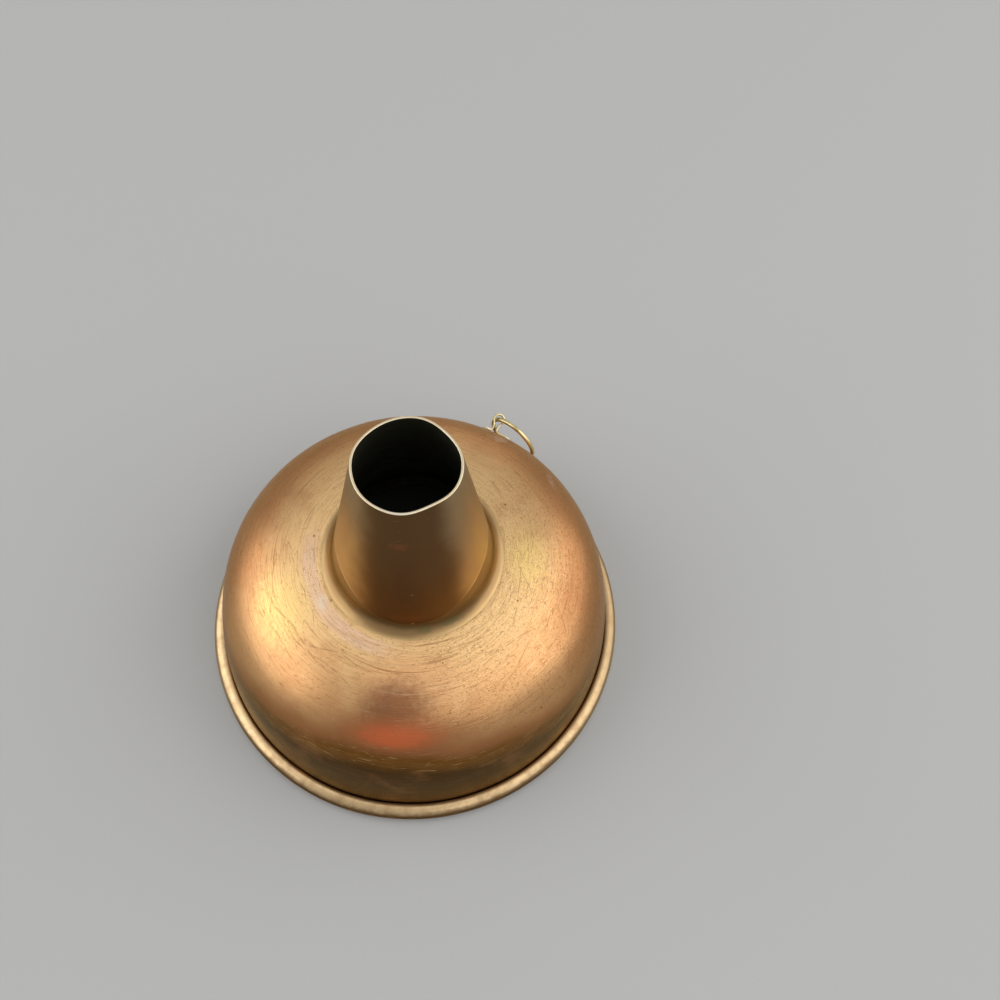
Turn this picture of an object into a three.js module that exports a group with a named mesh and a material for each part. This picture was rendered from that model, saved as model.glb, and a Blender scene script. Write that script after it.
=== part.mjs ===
// A copper funnel, standing on its mouth with the spout pointing up.
// Millimetres, +Z up. The origin is the middle of the mouth, on the surface that the rim stands on.

import * as THREE from 'three';

// Sheet, and the clearance between pieces that touch on the real thing
const sheet = 0.5;
const gap = 0.3;

// Rolled rim: a bead round a wire, with the wall standing a little inside the wire's centre
const rimRadius = 50;
const beadDiameter = 4.5;
const wallInset = 0.98;
const wallRootHeight = 0.2;
const curlTopHandle = 0.8;
const curlSideHandle = 0.7;

// Bowl: a steep wall that turns over a full shoulder into an almost flat crown
const wallLean = 5.4;
const wallHandle = 28.8;
const crownSlope = 3.3;
const crownHandle = 19.15;

// Neck: the crown sweeps up to the spout's foot, and a collar goes on inside the spout
const neckRise = 1.9;
const neckSpread = 1.6;
const neckHandle = 1.5;
const collarHeight = 5;

// Spout: a straight taper, a little out of round at the tip
const spoutFootHeight = 40.3;
const spoutFootRadius = 17.4;
const spoutTipRadius = 10.15;
const spoutTipHeight = 77.25;
const tipOval = 0.14;
const tipOvalAngle = 22;
const tipThreeSided = 0.12;
const tipThreeSidedAngle = -18;
const tipFourSided = 0.15;
const tipFourSidedAngle = -18;
const solderRise = 0.9;
const solderSpread = 1.1;
const solderHollow = 0.5;

// Hanger: a strap bent to an eye, on the back right of the wall, turned from upright
const hangerAngle = 59;
const hangerHeight = 25;
const hangerTurn = 21;
const strapThickness = 0.45;
const strapWidth = 1;
const eyeHeight = 3.75;
const waistHalfWidth = 0.55;
const waistAngle = 55;
const footBend = 0.6;
const leftFootLength = 1.2;
const rightFootLength = 3.6;
const filletWidth = 0.7;
const filletHeight = 0.5;

// Ring that swings in the eye, and passes through it at a slant
const ringWireDiameter = 1.1;
const ringDiameter = 12.8;
const ringSlant = 21;
const steepestLean = 60;

// Steps of the curved faces
const turnSteps = 64;
const beadSteps = 16;
const wireSteps = 12;
const ringSteps = 48;
const ringWireSteps = 8;
const bowlSteps = 13;
const neckSteps = 4;
const eyeSteps = 10;
const bendSteps = 3;
const spoutLevels = [0, 0.3, 0.55, 0.75, 0.9, 1];
const searchSteps = 40;
const searchPoints = 200;

const copper = new THREE.MeshStandardMaterial({ color: 0xb07a52, metalness: 1, roughness: 0.34 });
const darkCopper = new THREE.MeshStandardMaterial({ color: 0x7d5737, metalness: 1, roughness: 0.4 });
const solderGrey = new THREE.MeshStandardMaterial({ color: 0x8d7f66, metalness: 1, roughness: 0.5 });
const wireIron = new THREE.MeshStandardMaterial({ color: 0x5d5750, metalness: 1, roughness: 0.55 });
const brass = new THREE.MeshStandardMaterial({ color: 0xd8be74, metalness: 1, roughness: 0.3 });

const radians = THREE.MathUtils.degToRad;

// A point of a profile: distance from the axis, then height
function at(radius, height) {
  return new THREE.Vector2(radius, height);
}

function onCircle(centre, radius, angle) {
  return at(centre.x + radius * Math.cos(angle), centre.y + radius * Math.sin(angle));
}

// Points beside a line of points, square to it, with positive distances to the left of its run
function beside(points, distance) {
  return points.map((point, i) => {
    const before = points[Math.max(i - 1, 0)];
    const after = points[Math.min(i + 1, points.length - 1)];
    const into = point.clone().sub(i === 0 ? point.clone().multiplyScalar(2).sub(after) : before);
    const out = i === points.length - 1 ? into : after.clone().sub(point);
    const leftOfInto = at(-into.y, into.x).normalize();
    const leftOfOut = at(-out.y, out.x).normalize();
    const mitre = leftOfInto.clone().add(leftOfOut).divideScalar(1 + leftOfInto.dot(leftOfOut));
    return point.clone().addScaledVector(mitre, distance);
  });
}

// A closed section between two lines beside the same line of points
function strip(points, leftDistance, rightDistance) {
  return [...beside(points, leftDistance), ...beside(points, rightDistance).reverse()];
}

function turned(section, steps) {
  const closed = THREE.ShapeUtils.area(section) < 0 ? [...section].reverse() : [...section];
  closed.push(closed[0].clone());
  return new THREE.LatheGeometry(closed, steps).rotateX(Math.PI / 2);
}

function circleSection(centre, radius, steps) {
  const section = [];
  for (let i = 0; i < steps; i++) {
    section.push(onCircle(centre, radius, (2 * Math.PI * (i + 0.5)) / steps));
  }
  return section;
}

function named(name, geometry, material) {
  const mesh = new THREE.Mesh(geometry, material);
  mesh.name = name;
  return mesh;
}

// Radius of the spout's outer face at a height
function spoutOuter(height) {
  const share = (height - spoutFootHeight) / (spoutTipHeight - spoutFootHeight);
  return THREE.MathUtils.lerp(spoutFootRadius, spoutTipRadius, share);
}

// The bowl's outer face, from the collar's top down to the wall's root
const beadRadius = beadDiameter / 2;
const beadCentre = at(rimRadius - beadRadius, beadRadius);
const wallRoot = at(beadCentre.x - wallInset, beadDiameter + wallRootHeight);
const crownEdge = at(spoutFootRadius + neckSpread, spoutFootHeight - neckRise);

function collarFace(height) {
  return at(spoutOuter(height) - sheet - gap, height);
}

const collarFoot = collarFace(spoutFootHeight);
const collarTop = collarFace(spoutFootHeight + collarHeight);
const collarRun = collarFoot.clone().sub(collarTop).normalize();
const crownRun = at(Math.cos(radians(crownSlope)), -Math.sin(radians(crownSlope)));
const wallRun = at(Math.sin(radians(wallLean)), -Math.cos(radians(wallLean)));

const neckCurve = new THREE.CubicBezierCurve(
  collarFoot,
  collarFoot.clone().addScaledVector(collarRun, neckHandle),
  crownEdge.clone().addScaledVector(crownRun, -neckHandle),
  crownEdge
);

const bowlCurve = new THREE.CubicBezierCurve(
  crownEdge,
  crownEdge.clone().addScaledVector(crownRun, crownHandle),
  wallRoot.clone().addScaledVector(wallRun, -wallHandle),
  wallRoot
);

// The sheet leaves the wall's root, hugs the wire from inside and curls back up to the wall
function curlPoints() {
  const step = (2 * Math.PI) / beadSteps;
  const faceRadius = (beadRadius - sheet) / Math.cos(step / 2);
  const start = Math.PI - step / 2;
  const end = 2 * Math.PI + Math.acos((wallRoot.x + gap - beadCentre.x) / beadRadius);
  const join = onCircle(beadCentre, faceRadius, start);
  const joinRun = at(-Math.sin(start), Math.cos(start));
  const turnIn = new THREE.CubicBezierCurve(
    wallRoot,
    wallRoot.clone().addScaledVector(wallRun, curlTopHandle),
    join.clone().addScaledVector(joinRun, -curlSideHandle),
    join
  );
  const points = turnIn.getPoints(bendSteps).slice(1);
  for (let angle = start + step; angle < end - step / 4; angle += step) {
    points.push(onCircle(beadCentre, faceRadius, angle));
  }
  points.push(onCircle(beadCentre, faceRadius, end));
  return points;
}

function bowl() {
  const face = [
    collarTop,
    ...neckCurve.getPoints(neckSteps),
    ...bowlCurve.getPoints(bowlSteps).slice(1),
    ...curlPoints()
  ];
  return named('bowl', turned(strip(face, 0, -sheet), turnSteps), copper);
}

function rimWire() {
  const section = circleSection(beadCentre, beadRadius - sheet - gap, wireSteps);
  return named('rim_wire', turned(section, turnSteps), wireIron);
}

// How far the tip's outline stands proud of a circle, by the angle round the spout
function outOfRound(angle) {
  return (
    tipOval * Math.cos(2 * (angle - radians(tipOvalAngle))) +
    tipThreeSided * Math.cos(3 * (angle - radians(tipThreeSidedAngle))) +
    tipFourSided * Math.cos(4 * (angle - radians(tipFourSidedAngle)))
  );
}

function spout() {
  const face = spoutLevels.map((level) => {
    const height = THREE.MathUtils.lerp(spoutFootHeight, spoutTipHeight, level);
    return at(spoutOuter(height), height);
  });
  const lining = face.map((point) => at(point.x - sheet, point.y)).reverse();
  const geometry = turned([...face, ...lining], turnSteps);
  const positions = geometry.attributes.position;
  for (let i = 0; i < positions.count; i++) {
    const x = positions.getX(i);
    const y = positions.getY(i);
    const level = (positions.getZ(i) - spoutFootHeight) / (spoutTipHeight - spoutFootHeight);
    const radius = Math.hypot(x, y);
    const pushed = 1 + (outOfRound(Math.atan2(y, x)) * level * level) / radius;
    positions.setXY(i, x * pushed, y * pushed);
  }
  return named('spout', geometry, darkCopper);
}

// Solder that fills the step between the spout's foot and the neck, with a hollow face
function spoutSolder() {
  const top = at(spoutOuter(spoutFootHeight + solderRise) + gap, spoutFootHeight + solderRise);
  const corner = at(spoutFootRadius + gap, spoutFootHeight);
  const face = neckCurve.getPoints(2 * neckSteps);
  const seat = beside(face, gap).filter(
    (point) => point.x > spoutFootRadius && point.x < spoutFootRadius + solderSpread
  );
  const edge = seat[seat.length - 1];
  const straight = edge.clone().lerp(top, 0.5);
  const hollow = new THREE.QuadraticBezierCurve(edge, straight.lerp(corner, solderHollow), top);
  const section = [corner, ...seat, ...hollow.getPoints(bendSteps).slice(1)];
  return named('spout_solder', turned(section, turnSteps), solderGrey);
}

// Point of the bowl's outer face at a height, found along the curve
function bowlParameter(height) {
  let low = 0;
  let high = 1;
  for (let i = 0; i < searchSteps; i++) {
    const middle = (low + high) / 2;
    if (bowlCurve.getPoint(middle).y > height) {
      low = middle;
    } else {
      high = middle;
    }
  }
  return low;
}

// A group whose y stands off the bowl and whose z is the way through the strap's eye
const hangerParameter = bowlParameter(hangerHeight);
const hangerSeat = bowlCurve.getPoint(hangerParameter);
const hangerRun = bowlCurve.getTangent(hangerParameter);

function hangerFrame() {
  const group = new THREE.Group();
  const angle = radians(hangerAngle);
  const round = new THREE.Vector3(Math.sin(angle), -Math.cos(angle), 0);
  const off = new THREE.Vector3(
    -hangerRun.y * Math.cos(angle),
    -hangerRun.y * Math.sin(angle),
    hangerRun.x
  );
  const up = new THREE.Vector3().crossVectors(round, off);
  group.quaternion.setFromRotationMatrix(new THREE.Matrix4().makeBasis(round, off, up));
  group.rotateY(radians(hangerTurn));
  group.position.set(hangerSeat.x * Math.cos(angle), hangerSeat.x * Math.sin(angle), hangerSeat.y);
  return group;
}

// How far the bowl falls away from the hanger's seat, at a place beside it
const nearby = 0.02;
const runBefore = bowlCurve.getTangent(hangerParameter - nearby);
const runAfter = bowlCurve.getTangent(hangerParameter + nearby);
const runLength = bowlCurve
  .getPoint(hangerParameter - nearby)
  .distanceTo(bowlCurve.getPoint(hangerParameter + nearby));
const radiusUp = runLength / (runBefore.angle() - runAfter.angle());
const radiusRound = hangerSeat.x / -hangerRun.y;

function fallAway(x, z = 0) {
  const turn = radians(hangerTurn);
  const round = x * Math.cos(turn) + z * Math.sin(turn);
  const up = z * Math.cos(turn) - x * Math.sin(turn);
  return round ** 2 / (2 * radiusRound) + up ** 2 / (2 * radiusUp);
}

const footMiddle = gap + strapThickness / 2;
const slant = radians(ringSlant);
const wireReach = ringWireDiameter / 2 / Math.cos(slant) + (strapWidth / 2) * Math.tan(slant);
const eyeRadius = wireReach + gap + strapThickness / 2;

function footEnd(length) {
  return waistHalfWidth + footBend + length;
}

// One side of the strap's middle line, from the foot's end up to where the eye starts
function strapSide(side, length) {
  const turn = radians(waistAngle);
  const eyeStart = at(side * eyeRadius * Math.sin(turn), eyeHeight - eyeRadius * Math.cos(turn));
  const legRise = (eyeRadius * Math.sin(turn) - waistHalfWidth) * Math.tan(turn);
  const bendStart = waistHalfWidth + footBend;
  const bend = new THREE.QuadraticBezierCurve(
    at(side * bendStart, footMiddle - fallAway(bendStart)),
    at(side * waistHalfWidth, footMiddle),
    at(side * waistHalfWidth, footMiddle + footBend)
  );
  const leg = new THREE.QuadraticBezierCurve(
    at(side * waistHalfWidth, footMiddle + footBend),
    at(side * waistHalfWidth, eyeStart.y - legRise),
    eyeStart
  );
  const end = at(side * footEnd(length), footMiddle - fallAway(footEnd(length)));
  return [end, ...bend.getPoints(bendSteps), ...leg.getPoints(bendSteps).slice(1)];
}

function hangerStrap() {
  const turn = radians(waistAngle);
  const eye = at(0, eyeHeight);
  const middle = strapSide(1, rightFootLength);
  for (let i = 1; i < eyeSteps; i++) {
    const angle = -Math.PI / 2 + turn + (i / eyeSteps) * (2 * Math.PI - 2 * turn);
    middle.push(onCircle(eye, eyeRadius, angle));
  }
  middle.push(...strapSide(-1, leftFootLength).reverse());
  const outline = new THREE.Shape(strip(middle, strapThickness / 2, -strapThickness / 2));
  const geometry = new THREE.ExtrudeGeometry(outline, { depth: strapWidth, bevelEnabled: false });
  geometry.translate(0, 0, -strapWidth / 2);
  return named('hanger_strap', geometry, brass);
}

// A fillet of solder round the end and the two sides of a foot
function hangerSolder(name, side, length) {
  const start = side * (waistHalfWidth + footBend);
  const innerEnd = side * (footEnd(length) + gap);
  const outerEnd = innerEnd + side * filletWidth;
  const innerHalf = strapWidth / 2 + gap;
  const outerHalf = innerHalf + filletWidth;
  const corner = side * filletWidth;
  const outline = new THREE.Shape([
    at(start, -outerHalf),
    at(outerEnd - corner, -outerHalf),
    at(outerEnd, -outerHalf + filletWidth),
    at(outerEnd, outerHalf - filletWidth),
    at(outerEnd - corner, outerHalf),
    at(start, outerHalf),
    at(start, innerHalf),
    at(innerEnd, innerHalf),
    at(innerEnd, -innerHalf),
    at(start, -innerHalf)
  ]);
  const geometry = new THREE.ExtrudeGeometry(outline, { depth: filletHeight, bevelEnabled: false });
  geometry.rotateX(Math.PI / 2);
  geometry.translate(0, gap + filletHeight, 0);
  const positions = geometry.attributes.position;
  const edge = gap + filletHeight / 2;
  for (let i = 0; i < positions.count; i++) {
    const x = positions.getX(i);
    const z = positions.getZ(i);
    const onSlope = Math.abs(z) > innerHalf + gap / 2 || Math.abs(x) > Math.abs(innerEnd) + gap / 2;
    const level = onSlope ? Math.min(positions.getY(i), edge) : positions.getY(i);
    positions.setY(i, level - fallAway(x, z));
  }
  return named(name, geometry, solderGrey);
}

// Least distance from the bowl's outer face to a point off the axis
const bowlFace = bowlCurve.getPoints(searchPoints);

function bowlClearance(point) {
  const place = at(Math.hypot(point.x, point.y), point.z);
  return bowlFace.reduce((least, face) => Math.min(least, face.distanceTo(place)), Infinity);
}

// The angle that the ring leans past square to the bowl, where it lies against the bowl
function ringLean(pivot) {
  const ringRadius = ringDiameter / 2;
  const reach = ringWireDiameter / 2 + gap;
  let low = 0;
  let high = radians(steepestLean);
  for (let i = 0; i < searchSteps; i++) {
    const lean = (low + high) / 2;
    let least = Infinity;
    for (let k = 0; k < ringSteps; k++) {
      const turn = (2 * Math.PI * k) / ringSteps;
      const along = ringRadius * (1 - Math.cos(turn));
      const point = new THREE.Vector3(
        along * Math.cos(lean),
        -along * Math.sin(lean),
        ringRadius * Math.sin(turn)
      );
      least = Math.min(least, bowlClearance(pivot.localToWorld(point)));
    }
    if (least > reach) {
      low = lean;
    } else {
      high = lean;
    }
  }
  return low;
}

// The ring in a group that turns it about the way through the eye
function hangingRing() {
  const section = circleSection(at(ringDiameter / 2, 0), ringWireDiameter / 2, ringWireSteps);
  const geometry = turned(section, ringSteps).rotateX(-Math.PI / 2);
  const ring = named('hanging_ring', geometry, brass);
  ring.position.x = ringDiameter / 2;
  const swing = new THREE.Group();
  swing.add(ring);
  return swing;
}

const hanger = hangerFrame();
const pivot = new THREE.Group();
pivot.position.y = eyeHeight;
pivot.rotation.y = slant;
hanger.add(
  hangerStrap(),
  hangerSolder('hanger_solder_left', -1, leftFootLength),
  hangerSolder('hanger_solder_right', 1, rightFootLength),
  pivot
);
hanger.updateMatrixWorld();
const swing = hangingRing();
swing.rotation.z = -ringLean(pivot);
pivot.add(swing);

const funnel = new THREE.Group();
funnel.add(bowl(), rimWire(), spout(), spoutSolder(), hanger);

export default funnel;
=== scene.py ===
import math

import bpy
import numpy as np
from mathutils import Matrix, Quaternion, Vector, noise


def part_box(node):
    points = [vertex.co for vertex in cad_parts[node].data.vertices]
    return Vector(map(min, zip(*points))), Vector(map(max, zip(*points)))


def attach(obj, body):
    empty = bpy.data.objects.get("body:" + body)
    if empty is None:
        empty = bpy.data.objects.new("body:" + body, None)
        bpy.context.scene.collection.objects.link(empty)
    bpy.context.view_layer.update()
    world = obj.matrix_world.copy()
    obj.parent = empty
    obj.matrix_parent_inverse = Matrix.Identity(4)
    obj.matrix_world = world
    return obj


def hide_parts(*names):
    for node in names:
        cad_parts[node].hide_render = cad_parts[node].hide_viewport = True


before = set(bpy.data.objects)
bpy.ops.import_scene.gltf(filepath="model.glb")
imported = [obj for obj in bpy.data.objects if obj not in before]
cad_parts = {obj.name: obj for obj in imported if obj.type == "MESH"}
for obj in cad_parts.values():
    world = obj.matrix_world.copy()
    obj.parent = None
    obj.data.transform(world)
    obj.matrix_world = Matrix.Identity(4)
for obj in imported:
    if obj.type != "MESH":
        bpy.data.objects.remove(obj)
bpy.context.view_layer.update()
mm = 0.001
print("frame loaded:", len(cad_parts), "nodes")

# Camera at the photograph's viewing angle, from above and in front
photoView = {
    "place": (0.0, -0.08125, 0.2196),
    "toward": (0.09901, 0.45188, -0.88657),
    "roll": 6.45,
    "lens": 32.79,
}

cameraData = bpy.data.cameras.new("camera")
cameraData.lens = photoView["lens"]
cameraData.sensor_width = 36
cameraData.clip_start = 0.005
cameraData.clip_end = 20
camera = bpy.data.objects.new("camera", cameraData)
camera.location = photoView["place"]
camera.rotation_mode = "QUATERNION"
camera.rotation_quaternion = (
    Vector(photoView["toward"]).to_track_quat("-Z", "Y")
    @ Quaternion((0, 0, 1), math.radians(photoView["roll"]))
)
bpy.context.scene.collection.objects.link(camera)
bpy.context.scene.camera = camera
bpy.context.scene.view_settings.view_transform = "Standard"
print("camera placed")


# Mesh helpers. Profiles are points of distance from the axis and height, in millimetres
def cubic(a, b, c, d, steps):
    points = []
    for i in range(steps + 1):
        t = i / steps
        s = 1 - t
        points.append(a * s**3 + b * 3 * s * s * t + c * 3 * s * t * t + d * t**3)
    return points


def beside(points, distance):  # to the left of the run
    moved = []
    for i, point in enumerate(points):
        run = (points[min(i + 1, len(points) - 1)] - points[max(i - 1, 0)]).normalized()
        moved.append(point + Vector((-run.y, run.x)) * distance)
    return moved


def arc(centre, radius, start, end, steps):
    points = []
    for i in range(steps + 1):
        turn = math.radians(start + (end - start) * i / steps)
        points.append(centre + Vector((math.cos(turn), math.sin(turn))) * radius)
    return points


def roundEnd(fromPoint, toPoint, steps=6):  # half circle that closes the sheet's edge
    middle = (fromPoint + toPoint) / 2
    radius = (toPoint - fromPoint).length / 2
    start = math.degrees(math.atan2(fromPoint.y - middle.y, fromPoint.x - middle.x))
    return arc(middle, radius, start, start - 180, steps)[1:-1]


def makePiece(name, points, faces, materials, node, slots=None, body="funnel"):
    mesh = bpy.data.meshes.new(name)
    mesh.from_pydata([tuple(p) for p in points], [], faces)
    mesh.validate()
    for material in materials:
        mesh.materials.append(material)
    if slots:
        mesh.polygons.foreach_set("material_index", slots)
    mesh.polygons.foreach_set("use_smooth", [True] * len(mesh.polygons))
    mesh.update()
    piece = bpy.data.objects.new(name, mesh)
    bpy.context.scene.collection.objects.link(piece)
    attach(piece, body)
    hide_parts(node)
    return piece


def turnedMesh(section, steps, warp):  # section: distance, height and material slot
    points = []
    for k in range(steps):
        turn = 2 * math.pi * k / steps
        for radius, height, _ in section:
            place = Vector((radius * math.cos(turn), radius * math.sin(turn), height))
            points.append(warp(place) * mm)
    faces = []
    slots = []
    count = len(section)
    for k in range(steps):
        a = k * count
        b = (k + 1) % steps * count
        for i in range(count):
            j = (i + 1) % count
            faces.append((a + i, b + i, b + j, a + j))
            slots.append(section[i][2])
    return points, faces, slots


def sweptMesh(rings, closed):  # rings of points, joined in order, with flat ends when open
    count = len(rings[0])
    points = [p for ring in rings for p in ring]
    faces = []
    last = len(rings) if closed else len(rings) - 1
    for i in range(last):
        a = i * count
        b = (i + 1) % len(rings) * count
        for k in range(count):
            n = (k + 1) % count
            faces.append((a + k, b + k, b + n, a + n))
    if not closed:
        faces.append(tuple(range(count)))
        faces.append(tuple(reversed(range((len(rings) - 1) * count, len(rings) * count))))
    return points, faces


def softNoise(point, size, seed=0.0):  # about -0.5 to 0.5
    value = noise.noise(point / size + Vector((seed, seed * 1.7, -seed)))
    return min(max(0.6 * value, -0.5), 0.5)


# Node helpers
def setInputs(node, values):
    for key, value in values.items():
        socket = node.inputs[key]
        if isinstance(value, bpy.types.NodeSocket):
            node.id_data.links.new(value, socket)
        else:
            socket.default_value = value
    return node


def addNode(tree, kind, values=None, **settings):
    node = tree.nodes.new("ShaderNode" + kind)
    for key, value in settings.items():
        setattr(node, key, value)
    return setInputs(node, values or {})


def calc(tree, operation, a, b=0.0, c=0.0):
    return addNode(tree, "Math", {0: a, 1: b, 2: c}, operation=operation).outputs[0]


def vectorCalc(tree, operation, a, b=None, output=0):
    values = {0: a} if b is None else {0: a, 1: b}
    return addNode(tree, "VectorMath", values, operation=operation).outputs[output]


def scaleBy(tree, vector, size):
    return addNode(tree, "VectorMath", {0: vector, "Scale": size}, operation="SCALE").outputs[0]


def remap(tree, value, low, high, outLow=0.0, outHigh=1.0):
    values = {"Value": value, "From Min": low, "From Max": high, "To Min": outLow, "To Max": outHigh}
    return addNode(tree, "MapRange", values, interpolation_type="SMOOTHSTEP").outputs["Result"]


def blend(tree, factor, a, b):
    return addNode(tree, "Mix", {0: factor, 6: a, 7: b}, data_type="RGBA").outputs[2]


def times(tree, *factors):
    result = factors[0]
    for factor in factors[1:]:
        result = calc(tree, "MULTIPLY", result, factor)
    return result


def strongest(tree, masks):
    result = masks[0]
    for mask in masks[1:]:
        result = calc(tree, "MAXIMUM", result, mask)
    return result


def addGrain(tree, place, scale, detail, roughness=0.5, distortion=0.0):  # a value and a colour
    values = {"Vector": place, "Scale": scale, "Detail": detail}
    values.update({"Roughness": roughness, "Distortion": distortion})
    return addNode(tree, "TexNoise", values).outputs


def addWander(tree, place, scale, detail, reach):  # bends a straight pattern a little
    off = vectorCalc(tree, "SUBTRACT", addGrain(tree, place, scale, detail)[1], (0.5, 0.5, 0.5))
    bent = addNode(tree, "VectorMath", {0: off, 1: (reach, reach, 0), 2: place}, operation="MULTIPLY_ADD")
    return bent.outputs[0]


def newGroup(name, inputs, outputs=None):  # one mask comes out unless more is named
    tree = bpy.data.node_groups.new(name, "ShaderNodeTree")
    for label, value in inputs.items():
        kind = "Vector" if value is None else "Float"
        socket = tree.interface.new_socket(label, in_out="INPUT", socket_type="NodeSocket" + kind)
        if value is not None:
            socket.default_value = value
    for label, kind in (outputs or {"Mask": "Float"}).items():
        tree.interface.new_socket(label, in_out="OUTPUT", socket_type="NodeSocket" + kind)
    return tree, tree.nodes.new("NodeGroupInput").outputs, tree.nodes.new("NodeGroupOutput").inputs


def useGroup(tree, group, values):
    node = tree.nodes.new("ShaderNodeGroup")
    node.node_tree = group
    return setInputs(node, values).outputs


# Shared effects. Lengths inside them are in millimetres
toMm = (1000, 1000, 1000)
unrollRadius = 30.0  # the way round is measured at this distance from the axis


def unrolledGroup():  # the turned faces laid flat: way round by way along the profile
    outputs = {"Place": "Vector", "Outward": "Vector"}
    outputs.update({"Along": "Float", "Radius": "Float", "Height": "Float"})
    tree, given, out = newGroup("unrolled", {"Position": None}, outputs)
    place = vectorCalc(tree, "MULTIPLY", given["Position"], toMm)
    parts = addNode(tree, "SeparateXYZ", {0: place}).outputs
    flat = vectorCalc(tree, "MULTIPLY", place, (1, 1, 0))
    radius = vectorCalc(tree, "LENGTH", flat, output="Value")
    along = calc(tree, "SUBTRACT", radius, parts["Z"])
    turn = calc(tree, "ARCTAN2", parts["X"], calc(tree, "MULTIPLY", parts["Y"], -1.0))
    unrolled = addNode(tree, "CombineXYZ", {0: calc(tree, "MULTIPLY", turn, unrollRadius), 1: along})
    tree.links.new(unrolled.outputs[0], out["Place"])
    tree.links.new(along, out["Along"])
    tree.links.new(radius, out["Radius"])
    tree.links.new(parts["Z"], out["Height"])
    tree.links.new(vectorCalc(tree, "NORMALIZE", flat), out["Outward"])
    return tree


def turningLinesGroup():  # rings left by the spinning, broken along their length
    inputs = {"Outward": None, "Along": 0.0, "Lines per mm": 3.0, "Breaks": 3.0, "Low": 0.3, "High": 0.7}
    tree, given, out = newGroup("turning lines", inputs, {"Lines": "Float"})
    parts = addNode(tree, "SeparateXYZ", {0: scaleBy(tree, given["Outward"], given["Breaks"])}).outputs
    step = calc(tree, "MULTIPLY", given["Along"], given["Lines per mm"])
    place = addNode(tree, "CombineXYZ", {0: parts["X"], 1: parts["Y"], 2: step}).outputs[0]
    grain = addGrain(tree, place, 1.0, 3.0, 0.6)[0]
    tree.links.new(remap(tree, grain, given["Low"], given["High"]), out["Lines"])
    return tree


def scratchesGroup():  # short straight cuts, one to a cell of a stretched pattern
    inputs = {"Place": None, "Angle": 0.0, "Length": 3.0, "Width": 0.1, "Share": 0.3}
    tree, given, out = newGroup("scratches", inputs)
    reach = 0.13  # half the length of a cut, in its cell
    place = addWander(tree, given["Place"], 0.25, 1.0, 1.6)
    turning = {"Vector": place, "Angle": given["Angle"]}
    turned = addNode(tree, "VectorRotate", turning, rotation_type="Z_AXIS")
    perLength = calc(tree, "DIVIDE", 2 * reach, given["Length"])
    perWidth = calc(tree, "DIVIDE", 2 * reach, given["Width"])
    cell = addNode(tree, "CombineXYZ", {0: perLength, 1: perWidth, 2: 1.0})
    scaled = vectorCalc(tree, "MULTIPLY", turned.outputs[0], cell.outputs[0])
    cells = addNode(tree, "TexVoronoi", {"Vector": scaled, "Scale": 1.0}, voronoi_dimensions="2D").outputs
    pick = addNode(tree, "SeparateColor", {0: cells["Color"]}).outputs
    kept = calc(tree, "LESS_THAN", pick[0], given["Share"])
    size = calc(tree, "MULTIPLY_ADD", pick[1], reach * 0.6, reach * 0.4)
    edge = remap(tree, calc(tree, "DIVIDE", cells["Distance"], size), 1.0, 0.4)
    tree.links.new(times(tree, edge, kept), out["Mask"])
    return tree


def etchingGroup():  # dense fine hair-like marks, broken and curled
    inputs = {"Place": None, "Per mm": 1.0, "Stretch": 0.4, "Width": 0.02, "Share": 0.5}
    tree, given, out = newGroup("etching", inputs)
    stretch = addNode(tree, "CombineXYZ", {0: given["Stretch"], 1: 1.0, 2: 1.0}).outputs[0]
    place = vectorCalc(tree, "MULTIPLY", given["Place"], stretch)
    field = addGrain(tree, place, given["Per mm"], 1.0, distortion=0.4)[0]
    away = calc(tree, "ABSOLUTE", calc(tree, "SUBTRACT", field, 0.5))
    line = remap(tree, calc(tree, "DIVIDE", away, given["Width"]), 1.0, 0.3)
    patches = addGrain(tree, place, calc(tree, "MULTIPLY", given["Per mm"], 1.3), 2.0)[1]
    pick = addNode(tree, "SeparateColor", {0: patches}).outputs[1]
    kept = remap(tree, calc(tree, "SUBTRACT", given["Share"], pick), 0.0, 0.05)
    tree.links.new(times(tree, line, kept), out["Mask"])
    return tree


def tarnishGroup():  # soft clouds
    tree, given, out = newGroup("tarnish", {"Position": None, "Size": 60.0, "Low": 0.4, "High": 0.6})
    cloud = addGrain(tree, given["Position"], given["Size"], 6.0, 0.6)[0]
    tree.links.new(remap(tree, cloud, given["Low"], given["High"]), out["Mask"])
    return tree


def spotGroup():  # a soft round stain at one place
    tree, given, out = newGroup("spot", {"Position": None, "Centre": None, "Reach": None, "Ragged": 0.2})
    place = vectorCalc(tree, "MULTIPLY", given["Position"], toMm)
    away = vectorCalc(tree, "SUBTRACT", place, given["Centre"])
    away = vectorCalc(tree, "DIVIDE", away, given["Reach"])
    ragged = addGrain(tree, place, 0.9, 3.0)[0]
    ragged = times(tree, calc(tree, "SUBTRACT", ragged, 0.5), given["Ragged"], 4.0)
    distance = calc(tree, "ADD", vectorCalc(tree, "LENGTH", away, output="Value"), ragged)
    tree.links.new(remap(tree, distance, 1.0, 0.25), out["Mask"])
    return tree


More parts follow.
